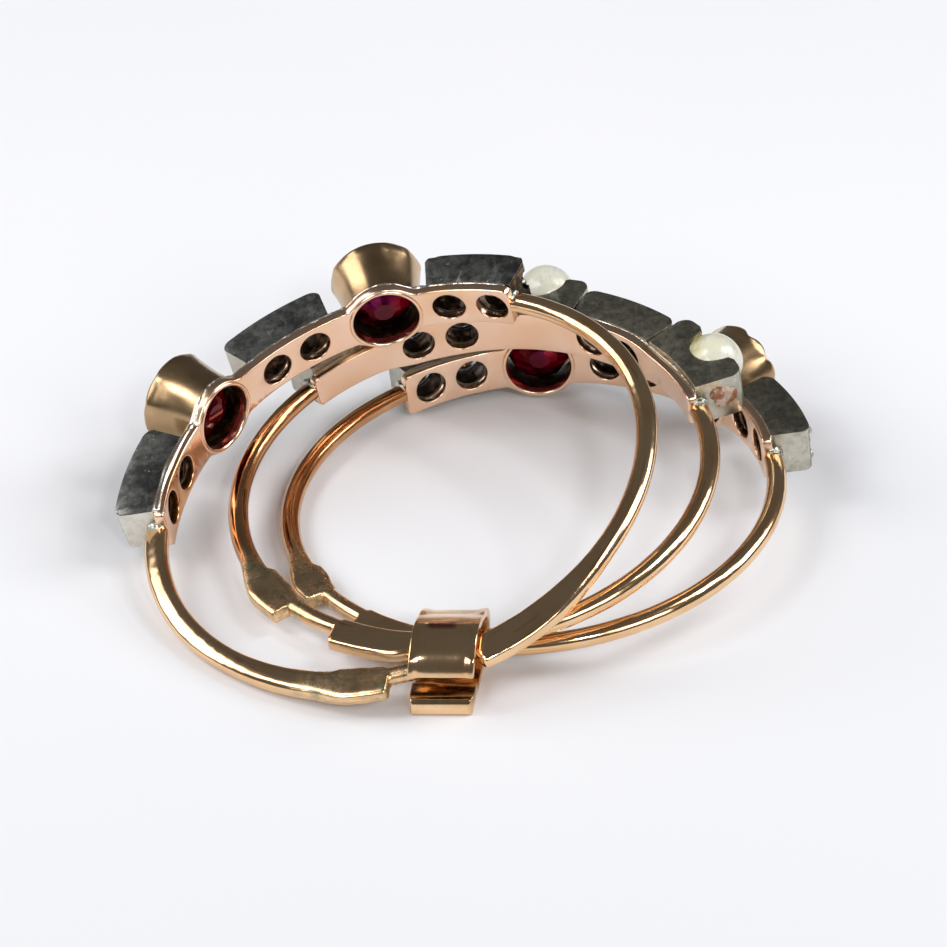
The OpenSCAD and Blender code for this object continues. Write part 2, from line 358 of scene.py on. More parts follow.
def wire_gold(name, tarnished, warm=NOWHERE, shade_spots=NOWHERE, ruby_reflection=NOWHERE, streaky=0.7):
    """Polished gold: streaks along it, olive tarnish where it was soldered, and where asked a painted
    red-brown reflection, painted shade and a painted reflection of the rubies.
    """
    m = Recipe(name)
    polished, deeper = rgb(0.91, 0.63, 0.37), rgb(0.82, 0.52, 0.27)
    reflected_red_brown, brown_streak = rgb(0.55, 0.25, 0.1), rgb(0.5, 0.22, 0.09)
    olive, shade_brown, reflected_ruby_red = rgb(0.34, 0.33, 0.2), rgb(0.22, 0.16, 0.09), rgb(0.26, 0.03, 0.03)
    streaks = m.noise(0.16, 4, 0.6, stretch=(0.06, 1, 1), place=m.along())
    clouds = m.noise(1.7, 4)
    grain = m.noise(0.14, 4, 0.65)
    spots = m.noise(0.5, 4, 0.6)
    soldered = m.near_any(tarnished, 1.1, 1.6)
    colour = m.mix(clouds.step(0.35, 0.7), polished, deeper)
    # Painted red-brown reflection at the places given as warm
    colour = m.mix(m.near_any(warm, 2, 2.4) * (0.5 + streaks * 0.6), colour, reflected_red_brown)
    colour = m.mix(streaks.step(0.54, 0.72) * streaky, colour, brown_streak)
    colour = m.mix(soldered * spots.step(0.42, 0.66) * 0.8, colour, olive)
    # Painted shade: dark brown at the places given, such as under the collar's strap on its lip
    colour = m.mix(m.near_any(shade_spots, 0.45, 0.5), colour, shade_brown)
    # Painted dark red reflection of the rubies at the places given
    colour = m.mix(m.near_any(ruby_reflection, 0.2, 0.26) * 0.85, colour, reflected_ruby_red)
    rough = 0.07 + streaks * 0.08 + clouds * 0.05 + soldered * grain * 0.3
    height = streaks * 0.35 + grain * 0.25 + soldered * grain * 1.2
    return m.finish(Base_Color=colour, Metallic=1.0, Roughness=rough, Normal=m.bump(height, 0.22, 0.015))


def cup_gold(rubbed):
    """Brown brassy gold of the ruby cups, finely frosted and paler where it is rubbed."""
    m = Recipe("cup_gold")
    brassy, brown = rgb(0.6, 0.4, 0.22), rgb(0.42, 0.28, 0.15)
    frosted, bare = rgb(0.72, 0.62, 0.45), rgb(0.85, 0.74, 0.52)
    clouds = m.noise(1.6, 3)
    frost = m.noise(0.12, 5, 0.75)
    patch = m.noise(1.2, 2).step(0.4, 0.7)
    colour = m.mix(clouds.step(0.3, 0.7), brassy, brown)
    colour = m.mix(patch * frost.step(0.55, 0.7) * 0.5, colour, frosted)
    colour = m.mix(m.near_any(rubbed, 0.9, 1.2) * clouds.step(0.3, 0.55), colour, bare)
    rough = 0.16 + patch * 0.06 + frost * 0.08
    return m.finish(Base_Color=colour, Metallic=1.0, Roughness=rough, Normal=m.bump(frost, 0.2, 0.01))


def seam_gold():
    """Rough solder along the plates: gold that runs into silver, with dark pits."""
    m = Recipe("seam_gold")
    gold, silvery, pitted = rgb(0.78, 0.62, 0.46), rgb(0.93, 0.9, 0.84), rgb(0.12, 0.06, 0.04)
    runs = m.noise(0.5, 4, 0.6)
    pits = m.noise(0.12, 4, 0.7)
    colour = m.mix(runs.step(0.42, 0.6), gold, silvery)
    colour = m.mix(pits.step(0.56, 0.7), colour, pitted)
    return m.finish(Base_Color=colour, Metallic=1.0, Roughness=0.12 + pits * 0.25,
                    Normal=m.bump(pits + runs * 0.5, 0.4, 0.02))


def grime():
    """Painted shade inside the holes and ruby cups: near black gold with browner patches."""
    m = Recipe("grime")
    patches = m.noise(0.35, 4, 0.65)
    colour = m.mix(patches.step(0.48, 0.72), rgb(0.035, 0.02, 0.01), rgb(0.3, 0.15, 0.06))
    return m.finish(Base_Color=colour, Metallic=0.9, Roughness=0.2 + patches * 0.3,
                    Normal=m.bump(patches, 0.5, 0.04))


# Solder and silver finishes

def solder():
    """Grey solder with a green cast."""
    m = Recipe("solder")
    runs = m.noise(0.45, 4, 0.6)
    pits = m.noise(0.15, 4, 0.65)
    colour = m.mix(runs.step(0.35, 0.65), rgb(0.34, 0.34, 0.27), rgb(0.6, 0.6, 0.55))
    return m.finish(Base_Color=colour, Metallic=1.0, Roughness=0.16 + pits * 0.25,
                    Normal=m.bump(pits, 0.4, 0.03))


def copper_solder():
    """Coarse coppery metal with a crystalline bump: a painted reflection of the gold beside it."""
    m = Recipe("copper_solder")
    crystals = m.noise(0.14, 5, 0.8)
    runs = m.noise(0.4, 3)
    colour = m.mix(runs.step(0.42, 0.6), rgb(0.36, 0.16, 0.08), rgb(0.62, 0.5, 0.42))
    return m.finish(Base_Color=colour, Metallic=1.0, Roughness=0.15 + crystals * 0.3,
                    Normal=m.bump(crystals, 1.0, 0.09))


def silver(name, dark, light, rubbed, rough, bare=NOWHERE, metallic=1.0):
    """Silver gone grey, mottled, with paler rubbed streaks, small pits, and a painted highlight at the places
    given as bare.
    """
    m = Recipe(name)
    clouds = m.noise(1.6, 4)
    mottle = m.noise(0.35, 5, 0.75)
    streaks = m.noise(0.3, 5, 0.65, stretch=(1, 0.25, 1), turn=(0.2, 0.4, 0.5))
    pits = m.noise(0.1, 4, 0.65)
    specks = m.noise(0.22, 3, 0.6).step(0.68, 0.74)
    colour = m.mix((clouds * 0.6 + mottle).step(0.6, 1.0), dark, light)
    colour = m.mix(streaks.step(0.58, 0.76) * 0.5, colour, rubbed)
    colour = m.mix(specks, colour, rubbed)
    # Painted highlight at the places given as bare
    colour = m.mix(m.near_any(bare, 0.25, 0.7) * mottle.step(0.35, 0.6), colour, rgb(0.8, 0.8, 0.78))
    shine = rough + streaks * 0.12 + mottle * 0.12
    return m.finish(Base_Color=colour, Metallic=metallic, Roughness=shine,
                    Normal=m.bump(pits * 0.5 + streaks * 0.5 + specks * 0.8 + mottle * 0.6, 0.26, 0.018))


def green_tarnish():
    """Yellow-green tarnish in the pearl cups."""
    m = Recipe("green_tarnish")
    patches = m.noise(0.5, 5, 0.65)
    colour = m.mix(patches.step(0.35, 0.65), rgb(0.2, 0.19, 0.09), rgb(0.45, 0.4, 0.14))
    return m.finish(Base_Color=colour, Metallic=0.8, Roughness=0.25 + patches * 0.3,
                    Normal=m.bump(patches, 0.4, 0.03))


# Stones, pearls and floor

def ruby_red(crimson, violet):
    """Deep red, nearly black from behind, with painted crimson glints and a painted violet highlight on one
    side.
    """
    m = Recipe("ruby_red")
    nearly_black, glint_red, glint_violet = rgb(0.025, 0.0, 0.002), rgb(0.65, 0.0, 0.02), rgb(0.6, 0.06, 0.66)
    silk = m.noise(0.8, 4, 0.6)
    glint_mottle = m.noise(0.7, 3).step(0.38, 0.6)
    colour = m.mix(glint_mottle * m.near_any(crimson, 0.5, 1.1), nearly_black, glint_red)
    colour = m.mix(glint_mottle * m.near_any(violet, 0.55, 0.8), colour, glint_violet)
    return m.finish(Base_Color=colour, Roughness=silk * 0.1, IOR=1.76, Transmission_Weight=0.85,
                    Specular_IOR_Level=0.3, Specular_Tint=rgb(0.9, 0.12, 0.2))


def white_stone(points):
    """A clear white stone, with painted shade, dark and partly metallic, behind its point."""
    m = Recipe("white_stone")
    cloud = m.noise(0.6, 3)
    shaded_point = m.near_any(points, 0.42, 0.36)
    colour = m.mix(cloud, rgb(0.9, 0.92, 0.95), rgb(1, 1, 1))
    # Painted shade behind the stone's point
    colour = m.mix(shaded_point, colour, rgb(0.1, 0.06, 0.03))
    return m.finish(Base_Color=colour, Metallic=shaded_point * 0.85, Roughness=cloud * 0.04 + shaded_point * 0.2, IOR=1.9,
                    Transmission_Weight=1.0)


def pearl_cream(stained):
    """Cream pearl with faint growth lines, chalky patches and a yellow-green stain where it sits."""
    m = Recipe("pearl_cream")
    cream, pale, chalk = rgb(0.7, 0.68, 0.52), rgb(0.74, 0.73, 0.66), rgb(0.46, 0.46, 0.43)
    cloud = m.noise(0.9, 4, 0.55)
    lines = m.noise(0.12, 4, 0.6, stretch=(1, 0.15, 1), turn=(0.3, 0.5, 0.9))
    stain = m.near_any(stained, 0.26, 0.4) * m.noise(0.5, 4, 0.6).step(0.3, 0.55)
    colour = m.mix(cloud.step(0.3, 0.7), cream, pale)
    colour = m.mix(lines.step(0.52, 0.72) * 0.5, colour, chalk)
    colour = m.mix(stain, colour, rgb(0.42, 0.38, 0.08))
    return m.finish(Base_Color=colour, Roughness=0.24 + cloud * 0.14, Subsurface_Weight=0.2,
                    Subsurface_Radius=(0.8 * MM, 0.6 * MM, 0.45 * MM), Coat_Weight=0.6, Coat_Roughness=0.15,
                    Normal=m.bump(lines * 0.6 + cloud * 0.4, 0.1, 0.015))


def pale_floor():
    """A white sheet, a little greyer towards the camera: painted shade."""
    m = Recipe("pale_floor")
    cloud = m.noise(30, 2)
    colour = m.mix(cloud, rgb(0.85, 0.86, 0.9), rgb(0.89, 0.89, 0.92))
    # Painted shade, greyer towards the camera, to even out the lamps' light
    colour = m.mix(m.near((0, -60, 0), 60, 80), colour, rgb(0.74, 0.75, 0.78))
    return m.finish(Base_Color=colour, Roughness=0.75 + cloud * 0.1)


# Mesh helpers

def make_piece(b, name, body, materials, stands_for=()):
    """Turns a bmesh in millimetres into a finished piece."""
    bmesh.ops.recalc_face_normals(b, faces=b.faces)
    b.transform(Matrix.Scale(MM, 4))
    mesh = bpy.data.meshes.new(name)
    b.to_mesh(mesh)
    b.free()
    piece = into_scene(bpy.data.objects.new(name, mesh))
    for material in materials:
        mesh.materials.append(material)
    for face in mesh.polygons:
        face.use_smooth = True
    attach(piece, body)
    if stands_for:
        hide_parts(*stands_for)
    return piece


def closed_outline(b, points):
    """Vertices at the points and the edges that join them up in a ring."""
    verts = [b.verts.new(point) for point in points]
    return verts, [b.edges.new((verts[i - 1], verts[i])) for i in range(len(verts))]


def pull_out(b, way):
    """Gives the faces of a flat bmesh a thickness."""
    moved = bmesh.ops.extrude_face_region(b, geom=b.faces)["geom"]
    bmesh.ops.translate(b, verts=[v for v in moved if isinstance(v, bmesh.types.BMVert)], vec=way)


def round_edges(b, sharp_from, width, segments):
    """Rounds over the edges whose faces turn by more than sharp_from, in radians."""
    sharp = [e for e in b.edges if len(e.link_faces) == 2 and e.calc_face_angle() > sharp_from]
    bmesh.ops.bevel(b, geom=sharp, offset=width, offset_type="OFFSET", segments=segments, profile=0.5,
                    affect="EDGES", clamp_overlap=True, material=-1)


def cut_across(b, point, facing):
    """Cuts every face along a plane, so that the piece can bend there."""
    bmesh.ops.bisect_plane(b, geom=b.verts[:] + b.edges[:] + b.faces[:], dist=0.001, plane_co=point,
                           plane_no=facing)


def map_along(b, spot):
    """Adds the piece's own map. spot gives the millimetres along and across for a vertex's place."""
    run = b.loops.layers.uv.new("along")
    for face in b.faces:
        for loop in face.loops:
            loop[run].uv = [c * MM for c in spot(loop.vert.co)]


def rolled(along, around, length, girth, point):
    """A grid rolled up into a tube by point(u, v), both from 0 to 1, with its ends closed."""
    b = bmesh.new()
    bmesh.ops.create_grid(b, x_segments=along, y_segments=around, size=0.5)
    map_along(b, lambda co: ((co.x + 0.5) * length, (co.y + 0.5) * girth))
    for vert in b.verts:
        vert.co = point(vert.co.x + 0.5, vert.co.y + 0.5)
    bmesh.ops.remove_doubles(b, verts=b.verts, dist=0.0005)
    bmesh.ops.holes_fill(b, edges=[e for e in b.edges if e.is_boundary], sides=0)
    return b


def turned(profile, steps):
    """A closed outline of (radius, height) turned round the Z axis."""
    b = bmesh.new()
    verts, edges = closed_outline(b, [(r, 0, z) for r, z in profile])
    bmesh.ops.spin(b, geom=verts + edges, cent=(0, 0, 0), axis=(0, 0, 1), dvec=(0, 0, 0),
                   angle=2 * math.pi, steps=steps, use_merge=True, use_duplicate=False)
    return b


def join(b, other):
    """Adds one bmesh to another and frees it."""
    mesh = bpy.data.meshes.new("joined")
    other.to_mesh(mesh)
    other.free()
    b.from_mesh(mesh)
    bpy.data.meshes.remove(mesh)


def lump(place, size, roughness):
    """A small blob of metal, uneven all over."""
    b = bmesh.new()
    bmesh.ops.create_icosphere(b, subdivisions=4, radius=1)
    for vert in b.verts:
        spot = vert.co + place.to_translation()
        vert.co *= 1 + roughness * (0.7 * wander(spot, 0.9) + 0.4 * wander(spot, 0.3))
    b.transform(place @ Matrix.Diagonal((*size, 1)))
    return b


def floor():
    """A sheet 3 m across under the ring."""
    b = bmesh.new()
    bmesh.ops.create_grid(b, x_segments=1, y_segments=1, size=1.5)
    mesh = bpy.data.meshes.new("floor")
    b.to_mesh(mesh)
    b.free()
    mesh.materials.append(pale_floor())
    plane = into_scene(bpy.data.objects.new("floor", mesh))


# Gold pieces of a hoop

def shank_section(h, angle):
    """Inner and outer edge, half width, squareness and place of the crest of the shank at an angle."""
    bar_from, neck_from, neck_to, bar_to = BARS[h]
    if h == TOP:
        # Its bar swells over a long stretch with a short step in it. At the left the wire is fuller, and its
        # crest is nearer the inner face
        bar = 0.6 * rise(angle, bar_from - 14, 40) + 0.4 * rise(angle, bar_from + 1, 10)
        bar -= rise(angle, bar_to + 9, 34)
        left = 1 - rise(angle, 205, 50)
    else:
        bar = rise(angle, bar_from + 1, 15) - rise(angle, bar_to, 11)
        left = 0
    neck_soft = 0.9
    neck = rise(angle, neck_from, neck_soft) - rise(angle, neck_to, neck_soft)
    outer = blend(blend(WIRE_T[h] + 0.1 * left, BAR_T, bar), NECK_T, neck)
    # A knuckle on the inner side of the first bar
    knuckle = rise(angle, bar_from + 2, 3) - rise(angle, neck_from - 3, 7)
    inner = 0.04 * neck - (0.1 if h == TOP else 0.2) * knuckle
    half = blend(WIRE_W, BAR_W, bar) / 2
    round_wire, square_bar, round_neck = 2.05, 4.2, 2.1
    square = blend(blend(round_wire, square_bar, bar), round_neck, neck)
    return inner, outer, half, square, inner + (outer - inner) * (0.5 - 0.22 * left)


def shank(h, body, material):
    """The wire round the back, thickened outwards into two flat bars with a round neck between them."""
    first, last = head_end(h, -1, GAP), 360 + head_end(h, 1, GAP)
    girth = 2 * (WIRE_T[h] + WIRE_W)
    end_part, end_taper = 160, 0.25

    def point(u, v):
        angle = blend(first, last, u)
        inner, outer, half, square, crest = shank_section(h, angle)
        t = 2 * math.pi * v
        side, rise_up = math.cos(t), math.sin(t)
        side = math.copysign(abs(side) ** (2 / square), side)
        rise_up = math.copysign(abs(rise_up) ** (2 / square), rise_up)
        from_end = min(u, 1 - u) * end_part
        end = 1 - end_taper * (1 - from_end) if from_end < 1 else 1
        reach = (outer - crest if side > 0 else crest - inner) * side
        p = bent(h, angle, crest + reach * end, half * rise_up * end)
        uneven = 1 - 0.02 * wander(p, 1.1) - 0.012 * wander(p, 0.35)
        middle = bent(h, angle, crest, 0)
        return middle + (p - middle) * uneven

    length = math.radians(last - first) * INNER_R[h]
    b = rolled(560, 28, length, girth, point)
    return make_piece(b, body + "_shank", body, [material], [body + "_hoop"])


def plate_half_width(h, s):
    """Half width of the back plate at a length along it. It swells round the ruby cups."""
    half = PLATE_W / 2
    if h == MIDDLE:
        reach = head_length(h, HEAD_DIR + 1.5 * SETTING_STEP[h])
        return blend(half, PLATE_END_W / 2, rise(abs(s), reach, 1.8))
    swell_r, fillet = CUP_BASE_D / 2 + 0.04, 0.3
    for place in CUP_PLACES[h]:
        away = abs(s - head_length(h, setting_angle(h, place)))
        if away < swell_r:
            swell = math.sqrt(swell_r ** 2 - away ** 2)
            half = max(half, swell) + max(fillet - abs(half - swell), 0) ** 2 / (4 * fillet)
        elif away < swell_r + fillet:
            half += (swell_r + fillet - away) ** 2 / (12 * fillet)
    return half


def plate_edge(h, left, right):
    """Points along the plate's upper edge, its corners rounded: length along the plate and half width."""
    corner, pitch = 0.16, 0.12
    count = math.ceil((left - right) / pitch)
    edge = []
    for i in range(count + 1):
        s = blend(right, left, i / count)
        in_from_end = min(s - right, left - s, corner)
        half = plate_half_width(h, s) - corner + math.sqrt(corner ** 2 - (corner - in_from_end) ** 2)
        edge.append((s, half))
    return edge


def plate(h, body, material):
    """The pierced back plate: cut flat, its edges rounded over, then bent round the hoop."""
    left, right = head_length(h, head_end(h, -1, PLATE_TAIL)), head_length(h, head_end(h, 1, PLATE_TAIL))
    round_over, bend_every, cup_play = 0.075, 0.3, 0.05
    b = bmesh.new()
    edge = plate_edge(h, left, right)
    closed_outline(b, [(s, half, 0) for s, half in edge] + [(s, -half, 0) for s, half in reversed(edge)])
    holes = [(hole_angle(h, place, side), HOLE_D / 2) for place in BOX_PLACES[h] for side in (-1, 1)]
    if h != MIDDLE:
        holes += [(setting_angle(h, place), RUBY_HOLE_D / 2 + cup_play) for place in CUP_PLACES[h]]
    for angle, radius in holes:
        bmesh.ops.create_circle(b, cap_ends=False, radius=radius, segments=44,
                                matrix=Matrix.Translation((head_length(h, angle), 0, 0)))
    bmesh.ops.triangle_fill(b, use_beauty=True, use_dissolve=False, edges=b.edges)
    pull_out(b, (0, 0, PLATE_T))
    round_edges(b, 1, round_over, 3)
    for i in range(1, math.ceil((left - right) / bend_every)):
        cut_across(b, (right + i * bend_every, 0, 0), (1, 0, 0))
    map_along(b, lambda co: co.xy)
    for vert in b.verts:
        s, across, out = vert.co
        p = bent(h, head_angle(h, s), out, across)
        vert.co = p + (bent(h, head_angle(h, s), out + 1, across) - p) * 0.02 * wander(p, 1.4)
    return make_piece(b, body + "_plate", body, [material], [body + "_hoop"])


def ruby_cup(h, place, name, body, materials, notch):
    """A flared cup with a thin lip on the inner face of the plate and a scalloped rim over the stone."""
    hole, base, rim = RUBY_HOLE_D / 2, CUP_BASE_D / 2, CUP_RIM_D / 2
    seat = RUBY_D / 2 + GAP
    girdle = CUP_H - RUBY_SUNK
    lip_top, inside_from = 0.32, 0.2
    scallops, scallops_from, rim_lean = 10, 2.05, 0.05
    straight_from = 1.2
    profile = [(hole, 0.3), (hole, 0.02), (hole + 0.03, -0.05), (hole + 0.09, -0.07), (hole + 0.15, -0.04),
               (base + 0.01, 0.06), (base + 0.02, 0.35), (base + 0.03, 0.7), (base + 0.08, 1.2),
               (base + 0.17, 1.7), (rim - 0.1, 2.1), (rim - 0.02, 2.35), (rim - 0.02, CUP_H - 0.05),
               (rim - 0.08, CUP_H), (rim - 0.16, CUP_H - 0.01), (seat, CUP_H - 0.1), (seat, girdle + 0.2),
               (seat, girdle), (seat - 0.1, girdle - 0.5), (hole + 0.05, 0.7), (hole, 0.45)]
    b = turned(profile, 80)
    bmesh.ops.recalc_face_normals(b, faces=b.faces)
    for face in b.faces:
        middle = face.calc_center_median()
        # Faces inside the cup, below the stone, take the painted shade
        if inside_from < middle.z < girdle + 0.1 and middle.xy.dot(face.normal.xy) < 0:
            face.material_index = 2
        else:
            face.material_index = int(all(v.co.z < lip_top for v in face.verts))
    curve = quarter(h, setting_angle(h, place))[0]
    for vert in b.verts:
        x, y, z = vert.co
        if z > scallops_from:
            turn = math.atan2(y, x)
            dip = (0.5 - 0.5 * math.cos(scallops * turn)) ** 2
            reach = (z - scallops_from) / (CUP_H - scallops_from)
            z -= notch * dip * reach
            lean = 1 - rim_lean * (1 - dip) * reach ** 2
            x, y = x * lean, y * lean
        sag = y * y / (2 * curve) * max(1 - max(z, 0) / straight_from, 0)
        vert.co = Vector((x, y, z - sag))
        vert.co.xy *= 1 + 0.005 * wander(vert.co + Vector((h * 9, place * 7, 0)), 0.7)
    b.transform(at_setting(h, place))
    return make_piece(b, name, body, materials, [body + "_hoop"])


def seam(h, body, material):
    """Uneven solder along both edges of the plate, where the settings meet it. Along the top hoop's upper
    edge it is thicker, and at the left it runs out in longer waves."""
    left, right = head_length(h, head_end(h, -1)), head_length(h, head_end(h, 1))
    waves_from, waves_soft = 4.2, 1.5
    b = bmesh.new()

    def bead(side):
        heavy = h == TOP and side > 0

        def point(u, v):
            s = blend(right, left, u)
            spot = Vector((s, side * 5, h * 11))
            run_out = rise(s, waves_from, waves_soft) if heavy else 0
            uneven = 0.03 * wander(spot, 0.45) + 0.025 * wander(spot, 0.13)
            thick = (0.075 if heavy else 0.055) + uneven * (1 - run_out)
            thick += run_out * (0.08 + 0.07 * wander(spot, 1.3))
            t = 2 * math.pi * v
            out = PLATE_T + 0.01 - 0.08 * run_out + thick * math.cos(t)
            across = side * (plate_half_width(h, s) - 0.07) + thick * math.sin(t)
            return bent(h, head_angle(h, s), out, across)
        return point

    for side in (-1, 1):
        join(b, rolled(300, 10, left - right, 0.3, bead(side)))
    return make_piece(b, body + "_seam", body, [material])


def solder_and_reflection_lumps(h, body, name, material, spots):
    """Blobs of metal, for solder and for the coppery lumps that paint a reflection: angle, out, across and
    the half sizes out, along and across.
    """
    b = bmesh.new()
    for angle, out, across, (thick, long, wide) in spots:
        place = Matrix.Translation(bent(h, angle, out, across)) @ standing(h, angle).to_3x3().to_4x4()
        join(b, lump(place, (wide, long, thick), 0.3))
    return make_piece(b, name, body, [material])


# Collar

def smooth_line(points, steps):
    """A smooth curve through a row of points."""
    line = []
    for i in range(len(points) - 1):
        before, a = Vector(points[max(i - 1, 0)]), Vector(points[i])
        b, after = Vector(points[i + 1]), Vector(points[min(i + 2, len(points) - 1)])
        for j in range(steps):
            t = j / steps
            line.append(0.5 * (2 * a + (b - before) * t + (2 * before - 5 * a + 4 * b - after) * t ** 2
                               + (3 * a - before - 3 * b + after) * t ** 3))
    return line + [Vector(points[-1])]


def side_of(line, off):
    """The line moved sideways by off."""
    moved = []
    for i, p in enumerate(line):
        way = (line[min(i + 1, len(line) - 1)] - line[max(i - 1, 0)]).normalized()
        moved.append(p + off * Vector((-way.y, way.x)))
    return moved


def ragged_bead(u, v):
    """A ragged line of gold across the top of the collar, before the collar is slanted."""
    spot = Vector((u * 8, 3, 1))
    thick = 0.035 + 0.03 * abs(wander(spot, 0.5)) + 0.02 * wander(spot, 0.15)
    t = 2 * math.pi * v
    along = -0.42 + 0.1 * wander(spot, 1.2)
    on_top = 2.83 - 0.2 * (along + 0.85) ** 2
    return Vector((COLLAR_W * (u - 0.5) * 0.9, along + thick * math.cos(t), on_top + thick * math.sin(t)))


def collar(material):
    """A strap bent round the backs of the hoops, thick at its lower lip, with raised rims, cut a little
    aslant."""
    inside_low, outside_low = Vector((1.7, 0.3)), Vector((1.75, 0))
    rim_from, rim_soft, rim_height, rims_below = 0.9, 0.3, 0.075, 2.38
    lip_top, lip_from, lip_taper = 0.8, -1.6, 0.1
    curl_middle = 1.2
    half_cuts = [0.25, 0.5, 0.75, 0.85, 0.93, 1.0, 1.06]
    line = smooth_line(COLLAR_LINE, 5)
    outline = side_of(line, COLLAR_T / 2) + [outside_low] + [Vector(p) for p in COLLAR_LIP]
    outline += [inside_low] + list(reversed(side_of(line, -COLLAR_T / 2)))
    b = bmesh.new()
    b.faces.new([b.verts.new((-COLLAR_W / 2, p.x, p.y)) for p in outline])
    pull_out(b, (COLLAR_W, 0, 0))
    round_edges(b, 0.7, 0.13, 5)
    for cut in [-c for c in reversed(half_cuts)] + [0] + half_cuts:
        cut_across(b, (cut, 0, 0), (1, 0, 0))
    map_along(b, lambda co: (co.y + co.z, co.x))
    join(b, rolled(90, 10, COLLAR_W, 0.2, ragged_bead))
    slant = math.tan(math.radians(COLLAR_SLANT))
    for vert in b.verts:
        x, y, z = vert.co
        rim = rise(abs(x), rim_from, rim_soft) * (1 - 0.9 * rise(z, rims_below, 0.25))
        uneven = 0.015 * wander(vert.co, 0.9) + rim_height * rim
        if z < lip_top and y < lip_from:
            x *= 1 - lip_taper * ((lip_from - y) / 0.5) ** 2
        lift = Vector((0, y, z - curl_middle)).normalized() * uneven * rise(z, 1.4, 0.6)
        vert.co = Vector((x + COLLAR_X + y * slant, y, z)) + lift
    return make_piece(b, "collar_strap", "collar", [material], ["collar"])


# Silver pieces and pearls

def softened(h, place, node, body, materials, sort_face, longer=0, horns=0):
    """A setting whose front follows the ring's curve and whose edges are rubbed round. Its ends may be
    drawn out longer, and its front may rise in horns beside the middle."""
    rubbed, front_from, bend_every = 0.07, 0.6, 0.31
    there = at_setting(h, place)
    back = there.inverted()
    b = bmesh.new()
    b.from_mesh(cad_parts[node].data)
    b.transform(Matrix.Scale(1 / MM, 4))
    bmesh.ops.remove_doubles(b, verts=b.verts, dist=0.0005)
    bmesh.ops.dissolve_limit(b, angle_limit=math.radians(0.5), verts=b.verts, edges=b.edges)
    for i in range(-5, 6):
        cut_across(b, there @ Vector((0, i * bend_every + 0.01, 0)), there.to_3x3() @ Vector((0, 1, 0)))
    b.normal_update()
    for face in b.faces:
        face.material_index = sort_face(face)
    ends = {v for face in b.faces if is_end(h, place, face) for v in face.verts}
    for vert in b.verts:
        x, y, z = back @ vert.co
        height = max(z - front_from, 0) / (BOX_TOP - front_from)
        z += height * (horns * rise(abs(y), 0.9, 0.7) - y * y / (2 * (INNER_R[h] + BOX_TOP)))
        if vert in ends:
            y += math.copysign(longer, y)
        vert.co = there @ Vector((x, y, z))
    piece = make_piece(b, node + "_rubbed", body, materials, [node])
    round_off = piece.modifiers.new("rounded", "BEVEL")
    round_off.width = rubbed * MM
    round_off.segments = 3
    round_off.limit_method = "ANGLE"
    round_off.angle_limit = math.radians(40)
    round_off.harden_normals = True
    round_off.miter_outer = "MITER_ARC"
    # The rounded edges take the last material: rubbed silver that also paints a highlight on them
    round_off.material = len(materials) - 1
    return piece


def is_end(h, place, face):
    """Whether a face closes the end of a setting, next to the setting beside it."""
    turn = at_setting(h, place).to_3x3().inverted()
    return abs((turn @ face.normal).y) > 0.8


def hole_faces(h, place):
    """Sorts a silver box's faces: 1 inside its two holes, 2 at its ends and 0 elsewhere."""
    backs = [at_hole(h, place, side).inverted() for side in (-1, 1)]

    def sort(face):
        middle = face.calc_center_median()
        for back in backs:
            p = back @ middle
            upright = abs((back.to_3x3() @ face.normal).z)
            if p.xy.length < STONE_D / 2 + 0.1 and upright < 0.8:
                return 1
        return 2 if is_end(h, place, face) else 0
    return sort


def dish_faces(place):
    """Sorts a pearl cup's faces: 1 in the dish, 2 at its ends and 0 elsewhere."""
    middle = at_setting(MIDDLE, place) @ Vector((0, 0, PEARL_SEAT_LOW + PEARL_SEAT_D / 2))

    def sort(face):
        if is_end(MIDDLE, place, face):
            return 2
        return int(all(abs((v.co - middle).length - PEARL_SEAT_D / 2) < 0.03 for v in face.verts))
    return sort


def grains(h, body, material):
    """Four grains of silver pushed over the edge of each small stone."""
    from_middle, size = 0.76, (0.17, 0.13, 0.12)
    b = bmesh.new()
    for place in BOX_PLACES[h]:
        for side in (-1, 1):
            for k in range(4):
                turn = Matrix.Rotation(math.radians(45 + 90 * k), 4, "Z")
                spot = at_hole(h, place, side) @ turn @ Matrix.Translation((from_middle, 0, BOX_TOP))
                join(b, lump(spot, size, 0.12))
    return make_piece(b, body + "_grains", body, [material])


def pearl(place, name, material, nudge):
    """A pearl that isn't quite round, flattened a little where it is glued down."""
    fuller, uneven, flat_from = 1.04, 0.02, 0.9
    b = bmesh.new()
    bmesh.ops.create_icosphere(b, subdivisions=5, radius=PEARL_D / 2 * fuller)
    for vert in b.verts:
        vert.co *= 1 - uneven - uneven * wander(vert.co + Vector((place, 0, 0)), 1.1)
        vert.co.z = max(vert.co.z, -flat_from * PEARL_D / 2)
    seated = Vector((0, 0, PEARL_SEAT_LOW + GAP + PEARL_D / 2)) + Vector(nudge)
    b.transform(at_setting(MIDDLE, place) @ Matrix.Translation(seated))
    return make_piece(b, name + "_nacre", "middle", [material], [name])


# Camera, lights and floor in place

set_camera()
set_lights()
floor()

# Where the finishes change

left_end_of_top_plate = [bent(TOP, setting_angle(TOP, 0), 0, -0.3)]
solder_on_bars = [bent(h, BARS[h][i], 0.5, 0) for h in HOOPS for i in (0, 1)]
# Painted red-brown reflection on the left of the lower shanks
red_reflection_on_lower_shanks = [bent(h, angle, 0.4, 0) for h in (MIDDLE, BOTTOM) for angle in (145, 165, 185, 205)]
far_side_of_collar = [(0.9, 1.9, 1.8)]
# Painted shade on the collar's lip, under the strap
shade_inside_collar_lip = [(x, -1.6, 0.75) for x in (-0.8, -0.4, 0, 0.4, 0.8)]
